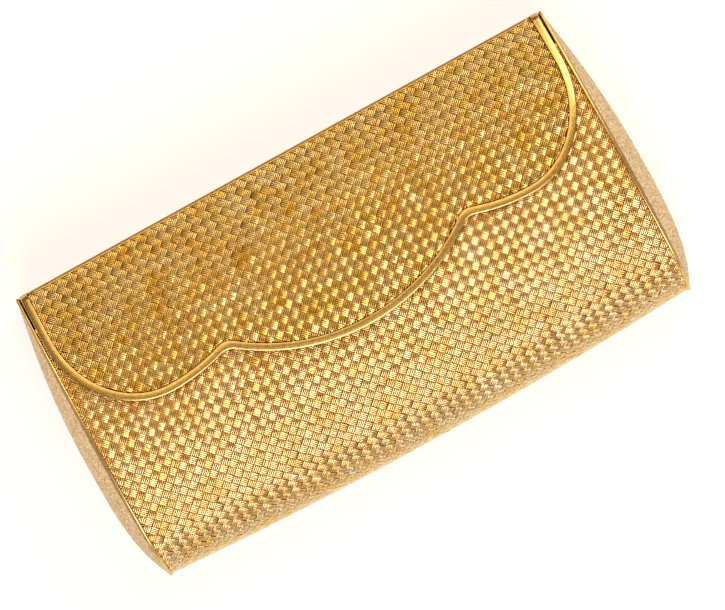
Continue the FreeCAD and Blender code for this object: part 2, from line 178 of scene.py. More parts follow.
def bottom_rounds(x):
    """At x, the lowest height, the toe's radius, where the crown hands over to the toe, and the
    lengths along the skin at which crown, toe and heel end. The toe's circle touches the crown's
    circle from inside and the lowest height from above, which gives its radius."""
    low = -TOP + BOTTOM_BOW * (x / HALF_SPAN) ** 2
    across = low - CREST_Y
    rise = HEEL_RADIUS - (CREST_Z - LOWER_RADIUS)
    toe = (LOWER_RADIUS**2 - across**2 - rise**2) / (2 * (across + LOWER_RADIUS))
    turn = np.arctan2(rise, low + toe - CREST_Y) - math.pi / 2
    crown_end = LOWER_RADIUS * turn
    toe_end = crown_end + toe * (math.pi / 2 - turn)
    heel_end = toe_end + HEEL_RADIUS * math.pi / 2
    return low, toe, turn, crown_end, toe_end, heel_end


def case_skin(x, run, lift):
    """The case's skin at x, run along it from the crest down over the bottom to the back, and
    lifted off it. Each stretch is an arc about its own centre: its angle from straight up is the
    run on that arc over its radius, and the back is the heel's last point carried along flat."""
    low, toe, turn, crown_end, toe_end, heel_end = bottom_rounds(x)
    stretch = [run < 0, run < crown_end, run < toe_end, run < heel_end]
    angle = np.select(
        stretch,
        [
            run / UPPER_RADIUS,
            run / LOWER_RADIUS,
            turn + (run - crown_end) / toe,
            math.pi / 2 + (run - toe_end) / HEEL_RADIUS,
        ],
        math.pi,
    )
    radius = np.select(stretch, [UPPER_RADIUS, LOWER_RADIUS, toe, HEEL_RADIUS], HEEL_RADIUS)
    heel_y = low + HEEL_RADIUS
    centre_y = np.select(
        stretch, [CREST_Y, CREST_Y, low + toe, heel_y], heel_y + run - heel_end
    )
    centre_z = np.select(
        stretch,
        [CREST_Z - UPPER_RADIUS, CREST_Z - LOWER_RADIUS, HEEL_RADIUS, HEEL_RADIUS],
        HEEL_RADIUS,
    )
    y = centre_y - (radius + lift) * np.sin(angle)
    z = centre_z + (radius + lift) * np.cos(angle)
    return np.stack(np.broadcast_arrays(x, y, z), axis=-1)


def flap_skin(x, run, lift):
    """The flap's outer face: the case's skin lifted by the flap's height over it."""
    return case_skin(x, run, lift + FLAP_OUTER)


def strip_skin(x, run, lift):
    """The flap's top strip: a flat face, run up it to the fold."""
    return np.stack(np.broadcast_arrays(x, TOP + lift, FOLD_Z + run), axis=-1)


def crown_height(y, lift):
    """Height of the crowned front at y, lifted off it: a circle's height over its chord."""
    radius = np.where(y > CREST_Y, UPPER_RADIUS, LOWER_RADIUS)
    return CREST_Z - radius + np.sqrt((radius + lift) ** 2 - (y - CREST_Y) ** 2)


def crown_run(y, lift):
    """Run along the upper crown at which the lifted skin reaches y."""
    return -UPPER_RADIUS * np.arcsin((y - CREST_Y) / (UPPER_RADIUS + lift))


# Outline of the flap


def arcs_meet(inset):
    """Where the side lobe's and the middle lobe's circles meet, both drawn in by the inset, with
    the circles' centres and radii: the foot of the chord lies along the line of centres, and the
    meeting point half a chord below it."""
    lobe_radius = ((LOBE_X - CUSP_X) ** 2 + CUSP_RISE**2) / (2 * CUSP_RISE)
    rise = LOBE_Y + CUSP_RISE - MIDDLE_Y
    middle_radius = (CUSP_X**2 + rise**2) / (2 * rise)
    lobe = (LOBE_X, LOBE_Y + lobe_radius, lobe_radius - inset)
    middle = (0.0, MIDDLE_Y + middle_radius, middle_radius - inset)
    dx, dy = middle[0] - lobe[0], middle[1] - lobe[1]
    apart = math.hypot(dx, dy)
    along = (lobe[2] ** 2 - middle[2] ** 2 + apart**2) / (2 * apart)
    across = np.sqrt(lobe[2] ** 2 - along**2)
    side = -math.copysign(1.0, dx)
    x = lobe[0] + (along * dx + side * across * -dy) / apart
    y = lobe[1] + (along * dy + side * across * dx) / apart
    return x, y, lobe, middle


def flap_outline(inset):
    """The flap's outline in plan, drawn in by each inset, from the top of the left side round the
    three lobes to the top of the right side: a straight side, a curve with quarter-ellipse
    handles, an arc to the cusp, a short rounded turn and the middle arc, then the same mirrored."""
    inset = np.asarray(inset, float).reshape(-1, 1)
    side_x, lobe_y = FLAP_HALF - inset, LOBE_Y + inset
    t = np.linspace(0, 1, SIDE_STEPS)[None, :-1]
    straight = (side_x + 0 * t, TOP + (SIDE_Y - TOP) * t + 0 * inset)
    t = np.linspace(0, 1, CORNER_STEPS)[None, :-1]
    weights = ((1 - t) ** 3, 3 * t * (1 - t) ** 2, 3 * t**2 * (1 - t), t**3)
    handle_y = SIDE_Y - HANDLE * (SIDE_Y - lobe_y)
    handle_x = LOBE_X + HANDLE * (side_x - LOBE_X)
    corner = (
        sum(w * c for w, c in zip(weights, (side_x, side_x, handle_x, LOBE_X))),
        sum(w * c for w, c in zip(weights, (SIDE_Y, handle_y, lobe_y, lobe_y))),
    )
    cusp_x, cusp_y, lobe, middle = arcs_meet(inset)
    t = np.linspace(0, 1 - CUSP_CUT / (LOBE_X - CUSP_X), LOBE_STEPS)[None, :]
    end = np.arctan2(cusp_y - lobe[1], cusp_x - lobe[0])
    turn = -math.pi / 2 + (end + math.pi / 2) * t
    lobe_arc = (lobe[0] + lobe[2] * np.cos(turn), lobe[1] + lobe[2] * np.sin(turn))
    t = np.linspace(CUSP_CUT / CUSP_X, 1, MIDDLE_STEPS)[None, :]
    start = np.arctan2(cusp_y - middle[1], cusp_x - middle[0])
    turn = start + (-math.pi / 2 - start) * t
    middle_arc = (middle[0] + middle[2] * np.cos(turn), middle[1] + middle[2] * np.sin(turn))
    t = np.linspace(0, 1, CUSP_STEPS)[None, 1:-1]
    round_cusp = tuple(
        (1 - t) ** 2 * before[:, -1:] + 2 * t * (1 - t) * cusp + t**2 * after[:, :1]
        for before, cusp, after in zip(lobe_arc, (cusp_x, cusp_y), middle_arc)
    )
    x = np.concatenate([straight[0], corner[0], lobe_arc[0], round_cusp[0], middle_arc[0]], axis=1)
    y = np.concatenate([straight[1], corner[1], lobe_arc[1], round_cusp[1], middle_arc[1]], axis=1)
    x = np.concatenate([-x, x[:, -2::-1]], axis=1)
    return x, np.concatenate([y, y[:, -2::-1]], axis=1)


# Basketweave


def lay_wires(skin, inside, x_reach, run_low, run_high, seed):
    """The wires of a basketweave on a skin, as arrays of wires by stations by section corners:
    points, facings, each corner's mark of how far down in the weave it lies, which sets its
    painted shade and its dullness, and each wire's tone. Cells of a square lattice lie at 45
    degrees to the length. In even cells four wires run along one lattice axis and in odd cells
    along the other. A wire is a flat-topped five-cornered section carried along a line of its
    cell. It stays level over the cell and falls at its ends, under the next cell's wires. Each
    cell leans and each wire rolls a little, and wires end where the panel does."""
    rng = np.random.default_rng(seed)
    root = math.sqrt(0.5)
    x_ends, run_ends = np.meshgrid([-x_reach, x_reach], [run_low, run_high])
    first = np.floor((x_ends + run_ends) * root / PITCH)
    second = np.floor((x_ends - run_ends) * root / PITCH)
    i = np.arange(first.min() - 1, first.max() + 2)
    j = np.arange(second.min() - 1, second.max() + 2)
    i, j = (cell.ravel() for cell in np.meshgrid(i, j, indexing="ij"))
    lean = np.repeat(rng.normal(0, CELL_LEAN, (len(i), 2)), WIRES, axis=0)
    cell_tone = np.repeat(rng.random(len(i)), WIRES)
    tone = CELL_TONE * cell_tone + WIRE_TONE * rng.random(len(i) * WIRES)
    even = np.repeat((i + j) % 2 == 0, WIRES)
    side = np.tile((np.arange(WIRES) - (WIRES - 1) / 2) * WIRE_STEP, len(i))
    a = np.repeat((i + 0.5) * PITCH, WIRES) - np.where(even, 0, side)
    b = np.repeat((j + 0.5) * PITCH, WIRES) + np.where(even, side, 0)

    def place(t, across):
        """Points along and across each wire, as x and run."""
        first = a[:, None] + np.where(even[:, None], t, -across)
        second = b[:, None] + np.where(even[:, None], across, t)
        return (first + second) * root, (first - second) * root

    steps = np.linspace(-REACH, REACH, 63)[None, :]
    held = inside(*place(np.repeat(steps, len(a), axis=0), 0.0))
    low = np.where(held, steps, REACH).min(axis=1)
    high = np.where(held, steps, -REACH).max(axis=1)
    kept = high - low > SHORTEST_WIRE
    roll = rng.normal(0, WIRE_ROLL, len(a))
    a, b, even, side, lean, tone, low, high, roll = (
        values[kept] for values in (a, b, even, side, lean, tone, low, high, roll)
    )

    shape = (len(a), len(STATION_SHARES), len(WIRE_ACROSS))
    flat = (shape[0], shape[1] * shape[2])
    t = low[:, None, None] + (high - low)[:, None, None] * STATION_SHARES[:, None]
    t = np.broadcast_to(t, shape).reshape(flat)
    across = np.broadcast_to(WIRE_ACROSS, shape).reshape(flat)
    height = np.broadcast_to(WIRE_HEIGHT, shape).reshape(flat)
    facing = np.broadcast_to(WIRE_FACING, shape).reshape(flat)
    shade_depth = np.broadcast_to(WIRE_SHADE, shape).reshape(flat)
    away = np.abs(t) / PITCH
    height = height - np.interp(away, FALL_AT, FALL)
    height = height + lean[:, :1] * t + lean[:, 1:] * (side[:, None] + across)
    # More painted shade where a wire falls under its neighbours
    shade_depth = np.minimum(shade_depth + np.interp(away, FALL_AT, FALL_SHADE), 1)
    ahead = np.tan(np.interp(away, FALL_AT, FALL_FACING)) * np.sign(t) - lean[:, :1]
    aside = np.sin(facing) - lean[:, 1:] + roll[:, None]
    x, run = place(t, across)
    points = skin(x, run, height)
    out = skin(x, run, height + 1) - points
    down = np.cross([1.0, 0.0, 0.0], out)
    along = root * (np.array([1.0, 0.0, 0.0]) + np.where(even, 1, -1)[:, None, None] * down)
    over = np.cross(out, along)
    facings = np.cos(facing)[..., None] * (out + ahead[..., None] * along) + aside[..., None] * over
    facings /= np.linalg.norm(facings, axis=-1, keepdims=True)
    return points.reshape(*shape, 3), facings.reshape(*shape, 3), shade_depth.reshape(shape), tone


def wire_map(count, stations, corners):
    """A flat map in which every wire has a small square of its own, its section round it across
    and its length up it, for the corners of its sides and then of its two ends."""
    across = math.ceil(math.sqrt(count))
    number = np.arange(count)
    home = np.stack([number % across, number // across], axis=-1)[:, None, None, :]
    i, j = (n.ravel() for n in np.meshgrid(np.arange(stations - 1), np.arange(corners), indexing="ij"))
    quad = np.stack(
        [np.stack([j + dj, i + di], axis=-1) for di, dj in ((1, 0), (1, 1), (0, 1), (0, 0))], axis=1
    )
    sides = home + 0.05 + 0.84 * quad / np.array([corners, stations - 1])
    angle = 2 * math.pi * np.arange(corners) / corners
    ring = 0.03 * np.stack([np.cos(angle), np.sin(angle)], axis=-1)
    ends = np.concatenate([home + (0.94, 0.25) + ring, home + (0.94, 0.75) + ring])
    return np.concatenate([sides.reshape(-1, 2), ends.reshape(-1, 2)]) / across


def weave_panel(name, pieces, skin, inside, x_reach, run_low, run_high, seed, body, stands_for):
    """A woven panel, cut along its length into pieces."""
    # The flap's wires take the copy of the gold with painted shade, the front and back the paler one with
    # painted light
    material = FLAP_WOVEN_GOLD_PAINTED_SHADE if body == "flap" else WOVEN_GOLD_PAINTED_LIGHT
    points, facings, shade_depth, tone = lay_wires(skin, inside, x_reach, run_low, run_high, seed)
    stations, corners = points.shape[1:3]
    wire_quads = grid_faces(stations, corners, close_columns=True)[:, ::-1]
    first_cap = np.arange(corners)[None, :]
    last_cap = (stations - 1) * corners + np.arange(corners)[None, ::-1]
    order = np.argsort(points[:, :, :, 0].mean(axis=(1, 2)), kind="stable")
    for number, part in enumerate(np.array_split(order, pieces)):
        base = (np.arange(len(part)) * stations * corners)[:, None, None]
        quads = (base + wire_quads).reshape(-1, 4)
        caps = np.concatenate([base + first_cap, base + last_cap]).reshape(-1, corners)
        label = name if pieces == 1 else f"{name}_{number + 1}"
        # Marks: each wire's own tone, and how far down in the weave each corner lies, which sets its painted
        # shade
        marks = {"tone": np.repeat(tone[part], stations * corners), "shade_depth": shade_depth[part]}
        piece = put_mesh(
            label, points[part], [quads, caps], body, material, stands_for, marks=marks
        )
        layer = piece.data.uv_layers.new(name="OFBake")
        layer.uv.foreach_set("vector", wire_map(len(part), stations, corners).ravel())
        piece.data.normals_split_custom_set_from_vertices(facings[part].reshape(-1, 3))


def in_front(x, run):
    """True on the front sheet: from the mouth to the seam on the back, outside the catch's slot."""
    low, *_, heel_end = bottom_rounds(x)
    seam = heel_end + SEAM_Y - low - HEEL_RADIUS
    radius = np.where(run < 0, UPPER_RADIUS, LOWER_RADIUS)
    y = CREST_Y - radius * np.sin(run / radius)
    slot = (y > SLOT_LOW_Y - SLOT_ROOM) & (y < SLOT_HIGH_Y + SLOT_ROOM)
    slot &= (np.abs(x) < SLOT_HALF + SLOT_ROOM) & (np.abs(run) < 2 * SLOT_HIGH_Y)
    return (np.abs(x) < INNER_HALF) & (run > crown_run(LIP_Y, 0)) & (run < seam - SEAM_ROOM) & ~slot


def on_back(x, run):
    """True on the flat back, from the seam to its top edge."""
    low, *_, heel_end = bottom_rounds(x)
    y = low + HEEL_RADIUS + run - heel_end
    return (np.abs(x) < INNER_HALF) & (y > SEAM_Y + SEAM_ROOM) & (y < BACK_TOP_Y)


def on_flap(x, run):
    """True on the flap's front, up to a hair's breadth from its raised border, and to its fold."""
    edge_x, edge_y = flap_outline(RIM_WIDTH + RIM_ROOM)
    half = edge_x.shape[1] // 2
    low_y = np.interp(np.abs(x), edge_x[0, half:], edge_y[0, half:])
    y = flap_skin(x, run, 0.0)[..., 1]
    return (np.abs(x) < FLAP_HALF - RIM_WIDTH - RIM_ROOM) & (y > low_y) & (y < STRIP_Y + 0.2)


def on_strip(x, run):
    """True on the flap's top strip, clear of the border's two upper corners."""
    corner = (np.abs(x) > FLAP_HALF - RIM_WIDTH) & (run > -STRIP_CORNER)
    within = (run < -FOLD_ROOM) & (run > STRIP_LOW_Z - FOLD_Z)
    return (np.abs(x) < FLAP_HALF - STRIP_ROOM) & within & ~corner


# Materials


def new_material(name):
    """An empty node material, with its nodes, its links and its shader."""
    material = bpy.data.materials.new(name)
    material.use_nodes = True
    nodes = material.node_tree.nodes
    return material, nodes, material.node_tree.links, nodes["Principled BSDF"]


def noise(nodes, links, scale, detail=2.0, stretch=(1, 1, 1)):
    """A noise on the piece's own coordinates, per metre, stretched along an axis."""
    where = nodes.new("ShaderNodeTexCoord")
    mapping = nodes.new("ShaderNodeMapping")
    mapping.inputs["Scale"].default_value = stretch
    links.new(where.outputs["Object"], mapping.inputs["Vector"])
    texture = nodes.new("ShaderNodeTexNoise")
    texture.inputs["Scale"].default_value = scale
    texture.inputs["Detail"].default_value = detail
    links.new(mapping.outputs["Vector"], texture.inputs["Vector"])
    return texture.outputs["Fac"]


def ramp(nodes, links, factor, *stops):
    """Colours at places between 0 and 1."""
    node = nodes.new("ShaderNodeValToRGB")
    elements = node.color_ramp.elements
    while len(elements) < len(stops):
        elements.new(0.5)
    for element, (place, colour) in zip(elements, stops):
        element.position = place
        element.color = (*colour, 1)
    links.new(factor, node.inputs["Fac"])
    return node.outputs["Color"]


def spread(nodes, links, factor, low, high, start=0.3, stop=0.7):
    """A number between low and high that follows a factor between start and stop."""
    node = nodes.new("ShaderNodeMapRange")
    for socket, value in zip(("From Min", "From Max", "To Min", "To Max"), (start, stop, low, high)):
        node.inputs[socket].default_value = value
    links.new(factor, node.inputs["Value"])
    return node.outputs["Result"]


def bump(nodes, links, height, strength, distance):
    """A normal tilted by the slope of a height, given in metres for a full step."""
    node = nodes.new("ShaderNodeBump")
    node.inputs["Strength"].default_value = strength
    node.inputs["Distance"].default_value = distance
    links.new(height, node.inputs["Height"])
    return node.outputs["Normal"]


def given(nodes, label):
    """A number marked on the piece's points."""
    node = nodes.new("ShaderNodeAttribute")
    node.attribute_name = label
    return node.outputs["Fac"]


def with_painted_shade(nodes, links, colour, shade_colour):
    """A colour that turns to a colour of painted shade as far as the points are marked for it."""
    mix = nodes.new("ShaderNodeMix")
    mix.data_type = "RGBA"
    links.new(given(nodes, "shade_depth"), mix.inputs["Factor"])
    links.new(colour, mix.inputs["A"])
    mix.inputs["B"].default_value = (*shade_colour, 1)
    return mix.outputs["Result"]


def metal(name, dark, light, patch_scale, rough, grain_scale, grain, stretch=(1, 1, 1), shade_colour=None):
    """A metal whose colour drifts in patches, with a grain in its shine and its face, and, given a shade
    colour, painted shade where its points are marked.
    """
    material, nodes, links, shader = new_material(name)
    shader.inputs["Metallic"].default_value = 1.0
    patch = noise(nodes, links, patch_scale, 3.0)
    colour = ramp(nodes, links, patch, (0.3, dark), (0.7, light))
    # Painted shade where the piece's points are marked
    if shade_colour:
        colour = with_painted_shade(nodes, links, colour, shade_colour)
    links.new(colour, shader.inputs["Base Color"])
    fine = noise(nodes, links, grain_scale, 3.0, stretch)
    links.new(spread(nodes, links, fine, *rough), shader.inputs["Roughness"])
    links.new(bump(nodes, links, fine, grain, 0.00005), shader.inputs["Normal"])
    return material


def woven_metal(name, shade_colour, worn, pale):
    """Wire gold, palest on the wire tops, with painted shade that darkens it down in the weave,
    where it is also duller, and a tone of its own for each wire and patches over the panel."""
    material, nodes, links, shader = new_material(name)
    shader.inputs["Metallic"].default_value = 1.0
    patch = spread(nodes, links, noise(nodes, links, 160.0, 3.0), 0.0, 0.5)
    mixed = nodes.new("ShaderNodeMath")
    mixed.operation = "MULTIPLY_ADD"
    mixed.inputs[1].default_value = 0.5
    links.new(given(nodes, "tone"), mixed.inputs[0])
    links.new(patch, mixed.inputs[2])
    high = ramp(nodes, links, mixed.outputs[0], (0.15, worn), (0.85, pale))
    links.new(with_painted_shade(nodes, links, high, shade_colour), shader.inputs["Base Color"])
    dull = spread(nodes, links, given(nodes, "shade_depth"), 0.11, 0.45, 0, 1)
    links.new(dull, shader.inputs["Roughness"])
    fine = noise(nodes, links, 2800.0, 2.0)
    links.new(bump(nodes, links, fine, 0.3, 0.0002), shader.inputs["Normal"])
    return material


def suede(name, dark, light):
    """A short nap: soft patches, a fine grain and a little sheen."""
    material, nodes, links, shader = new_material(name)
    shader.inputs["Roughness"].default_value = 0.95
    shader.inputs["Sheen Weight"].default_value = 0.35
    shader.inputs["Sheen Roughness"].default_value = 0.5
    patch = noise(nodes, links, 90.0, 4.0)
    links.new(ramp(nodes, links, patch, (0.3, dark), (0.7, light)), shader.inputs["Base Color"])
    links.new(bump(nodes, links, noise(nodes, links, 2600.0, 2.0), 0.5, 0.0001), shader.inputs["Normal"])
    return material


def looking_glass(name):
    """A silvered glass with a faint uneven tint."""
    material, nodes, links, shader = new_material(name)
    shader.inputs["Metallic"].default_value = 1.0
    shader.inputs["Roughness"].default_value = 0.03
    tint = ramp(
        nodes, links, noise(nodes, links, 25.0), (0.3, (0.80, 0.83, 0.83)), (0.7, (0.90, 0.92, 0.91))
    )
    links.new(tint, shader.inputs["Base Color"])
    return material


# Two copies of the wire gold: the front and back's is paler, as painted light, and the flap's deeper and
# more orange, as painted shade
WOVEN_GOLD_PAINTED_LIGHT = woven_metal("woven_gold_painted_light", (0.64, 0.27, 0.012), (0.97, 0.62, 0.20), (1.0, 0.80, 0.48))
FLAP_WOVEN_GOLD_PAINTED_SHADE = woven_metal(
    "flap_woven_gold_painted_shade", (0.44, 0.16, 0.004), (0.96, 0.58, 0.11), (1.0, 0.78, 0.40)
)
# Satin gold; its last colour is painted shade, laid where a piece marks it: on the walls of the flap's
# border and over the fold bar's outer round
SATIN_GOLD = metal(
    "satin_gold", (0.62, 0.39, 0.13), (0.80, 0.53, 0.21), 900.0, (0.18, 0.32), 3200.0, 0.3,
    shade_colour=(0.42, 0.22, 0.08),
)
# Stippled gold for the domed ends; its last colour is painted shade along the seam with the plate
STIPPLED_GOLD = metal(
    "stippled_gold", (0.50, 0.26, 0.085), (1.0, 0.79, 0.49), 1700.0, (0.3, 0.55), 2600.0, 1.0,
    shade_colour=(0.09, 0.04, 0.01),
)
SHEET_GOLD = metal(
    "sheet_gold", (0.66, 0.42, 0.14), (0.80, 0.55, 0.21), 60.0, (0.28, 0.36), 3000.0, 0.04
)
# A near-black sheet: painted shade in the gaps of the weave, on the flap's beds and the shells under the
# front and back wires
PAINTED_SHADE_SHEET = metal(
    "painted_shade_sheet", (0.14, 0.06, 0.012), (0.22, 0.10, 0.025), 400.0, (0.4, 0.55), 1800.0, 0.15
)
SPRING_STEEL = metal(
    "spring_steel", (0.42, 0.42, 0.43), (0.62, 0.62, 0.63), 300.0, (0.24, 0.42), 2400.0, 0.15, (0.1, 1, 1)
)
BROWN_SUEDE = suede("brown_suede", (0.055, 0.028, 0.017), (0.105, 0.056, 0.034))
MIRROR = looking_glass("mirror_silver")

NODES_OF_FINISH = (
    (SATIN_GOLD, "mouth_lip"),
    (SHEET_GOLD, "flap_shell hinge_case_knuckles hinge_flap_knuckles mirror_bezel"),
    (SHEET_GOLD, "catch_tongue catch_box catch_cover"),
    # The shells under the front and back weave carry painted shade
    (PAINTED_SHADE_SHEET, "front_shell back_shell"),
    (SPRING_STEEL, "hinge_pin catch_screws catch_bolt"),
    (BROWN_SUEDE, "lining divider"),
    (MIRROR, "mirror_glass"),
)
for finish, names in NODES_OF_FINISH:
    for node in names.split():
        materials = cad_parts[node].data.materials
        materials.clear()
        materials.append(finish)


# Woven panels


def weave_bed(name, skin, x, run):
    """The near-black sheet under a panel's wires, painted shade in the gaps of the weave: a grid
    of the skin's points just over the metal that carries it, given a thickness."""
    points = skin(x, run, BED_LIFT)
    faces = grid_faces(*points.shape[:2])
    piece = put_mesh(name, points, [faces], "flap", PAINTED_SHADE_SHEET)
    sheet = piece.modifiers.new("thickness", "SOLIDIFY")
    sheet.thickness = BED_THICK * MM
    sheet.offset = 0.0


def flap_beds():
    """The beds of the flap's front, ruled from its border up to the fold, and of its top strip."""
    edge_x, edge_y = flap_outline(RIM_WIDTH - BED_UNDER_RIM)
    half = edge_x.shape[1] // 2
    share = np.linspace(0, 1, BED_ROWS)[:, None]
    x = np.linspace(-1, 1, BED_COLUMNS)[None, :] * (FLAP_HALF - RIM_WIDTH)
    low_y = np.interp(np.abs(x), edge_x[0, half:], edge_y[0, half:])
    y = low_y + (STRIP_Y - BED_UNDER_FOLD - low_y) * share
    weave_bed("flap_weave_bed", flap_skin, x + 0 * y, crown_run(y, FLAP_OUTER))
    run = (STRIP_LOW_Z - FOLD_Z) + share * (FOLD_Z - STRIP_LOW_Z - BED_UNDER_BAR)
    weave_bed("flap_top_weave_bed", strip_skin, x + 0 * run, run + 0 * x)


weave_panel(
    "front_weave_wires", 4, case_skin, in_front, INNER_HALF, -38.0, 72.0, 11, "case", ["front_weave"]
)
weave_panel(
    "back_weave_wires", 3, case_skin, on_back, INNER_HALF, 64.0, 146.0, 12, "case", ["back_weave"]
)
weave_panel("flap_weave_wires", 2, flap_skin, on_flap, FLAP_HALF, -48.0, 8.0, 13, "flap", ["flap_weave"])
weave_panel(
    "flap_top_weave_wires", 1, strip_skin, on_strip, FLAP_HALF, -21.0, 0.0, 14, "flap", ["flap_top_weave"]
)
flap_beds()


# Raised border of the flap


def flap_border():
    """The border: a closed section carried round the flap's outline. Each corner of the section
    is an inset from the outline and a height over the case's skin, so its curves are the outline
    drawn in, set on the crown at that height. Along the flap's sides the section falls outwards,
    by the square of the outline's steepness."""
    top_lift = FLAP_OUTER + RIM_PROUD
    section = np.array(
        [
            (0.0, FLAP_GAP + 0.05),
            (0.0, top_lift - 0.40),
            (0.03, top_lift - 0.22),
            (0.12, top_lift - 0.09),
            (0.26, top_lift - 0.02),
            (0.45, top_lift),
            (1.20, top_lift + 0.02),
            (1.92, top_lift),
            (2.08, top_lift - 0.04),
            (2.17, top_lift - 0.13),
            (RIM_WIDTH, top_lift - 0.30),
            (RIM_WIDTH, FLAP_GAP + 0.05),
        ]
    )
    x, y = flap_outline(section[:, 0])
    ahead_x, ahead_y = np.gradient(x[0]), np.gradient(y[0])
    steep = ahead_y**2 / (ahead_x**2 + ahead_y**2)
    fall = SIDE_FALL * np.maximum(1 - section[:, :1] / RIM_WIDTH, 0) * (section[:, 1:] > 1) * steep
    z = crown_height(y, section[:, 1:] - fall)
    rows, columns = x.shape
    points = np.stack([x, y, z], axis=-1)
    # Painted shade down the border's walls: full on the inner wall and at the outer foot, less up the outer
    # wall and on the inner round
    shade = np.array([1, 0.6, 0, 0, 0, 0, 0, 0, 0, 0.3, 1, 1])[:, None]
    put_mesh(
        "flap_rim_band",
        points,
        [grid_faces(rows, columns, close_rows=True), column_caps(rows, columns)],
        "flap",
        SATIN_GOLD,
        ["flap_rim"],
        merge=True,
        marks={"shade_depth": np.broadcast_to(shade, x.shape)},
    )


def fold_bar():
    """The bar along the flap's fold: a rounded section of depths and heights over the case's skin,
    carried along the length, with painted shade, light on top and full over its outer round."""
    section = np.array(
        [
            (STRIP_Y, 0.8),
            (STRIP_Y, FLAP_OUTER - 0.04),
            (STRIP_Y + 0.08, FLAP_OUTER + 0.03),
            (STRIP_Y + 0.26, FLAP_OUTER + 0.04),
            (STRIP_Y + 0.44, FLAP_OUTER),
            (STRIP_Y + 0.60, FLAP_OUTER - 0.10),
            (STRIP_Y + 0.72, FLAP_OUTER - 0.25),
            (TOP - 0.02, FLAP_OUTER - 0.45),
            (TOP, FLAP_OUTER - 0.70),
            (TOP, 0.8),
        ]
    )
    # Painted shade: light over the top, full over the outer round and the faces underneath
    shade = np.array([1, 0.5, 0.3, 0.3, 0.6, 1, 1, 1, 1, 1])[:, None]
    x = (FLAP_HALF - RIM_WIDTH) * np.linspace(-1, 1, 61)[None, :]
    y = section[:, :1] + 0 * x
    points = np.stack([x + 0 * y, y, crown_height(y, section[:, 1:])], axis=-1)
    rows, columns = y.shape
    put_mesh(
        "flap_fold_bar",
        points,
        [grid_faces(rows, columns, close_rows=True), column_caps(rows, columns)],
        "flap",
        SATIN_GOLD,
        ["flap_edge_bead"],
        merge=True,
        marks={"shade_depth": np.broadcast_to(shade, y.shape)},
    )


flap_border()
fold_bar()


# Ends of the case


def end_outline(lift, drop):
    """The end's outline at each lift off the skin: from the upper front corner down over the
    bottom, along the back and up the flat top, which sits a drop below the full height."""
    lift, drop = lift.reshape(-1, 1), drop.reshape(-1, 1)
    share = np.linspace(0, 1, END_STEPS)[None, :]
    *_, heel_end = bottom_rounds(np.float64(HALF_SPAN))
    crown = crown_run(TOP - drop, lift) * (1 - share)
    round_run = np.broadcast_to(heel_end * share[:, 1:], (len(lift), END_STEPS - 1))
    front = case_skin(np.float64(HALF_SPAN), crown, lift)
    under = case_skin(np.float64(HALF_SPAN), round_run, lift)
    body = np.concatenate([front, under], axis=1)[..., 1:]
    heel_y, front_z = body[:, -1:, 0], body[:, :1, 1]
    back = np.stack([heel_y + (TOP - drop - heel_y) * share[:, 1:], 0 * drop + 0 * share[:, 1:]], axis=-1)
    rise = np.linspace(0, 1, END_TOP_STEPS)[None, 1:-1]
    top_edge = np.stack([TOP - drop + 0 * rise, front_z * rise], axis=-1)
    outline = np.concatenate([body, back, top_edge], axis=1)
    outline[..., 1] = np.maximum(outline[..., 1], 0.0)
    return outline


def end_rim(side, name, node):
    """A flat end whose edge is rounded: the outline carried across the thickness of the plate,
    drawn in towards both faces by a quarter circle."""
    across = np.array([0.0, 0.0, 0.05, 0.15, 0.3, 0.45, 0.6, 0.75, 0.85, 0.9, 0.9])
    drawn_in = np.array([1.3, 0.45, 0.22, 0.09, 0.02, 0.0, 0.02, 0.09, 0.22, 0.45, 1.3])
    outline = end_outline(PLATE_PROUD - drawn_in, drawn_in)
    x = side * (INNER_HALF + across)
    points = np.concatenate([np.broadcast_to(x[:, None, None], (*outline.shape[:2], 1)), outline], axis=-1)
    rows, columns = outline.shape[:2]
    put_mesh(
        name,
        points,
        [grid_faces(rows, columns, close_columns=True), row_caps(rows, columns)],
        "case",
        SATIN_GOLD,
        [node],
        merge=True,
    )


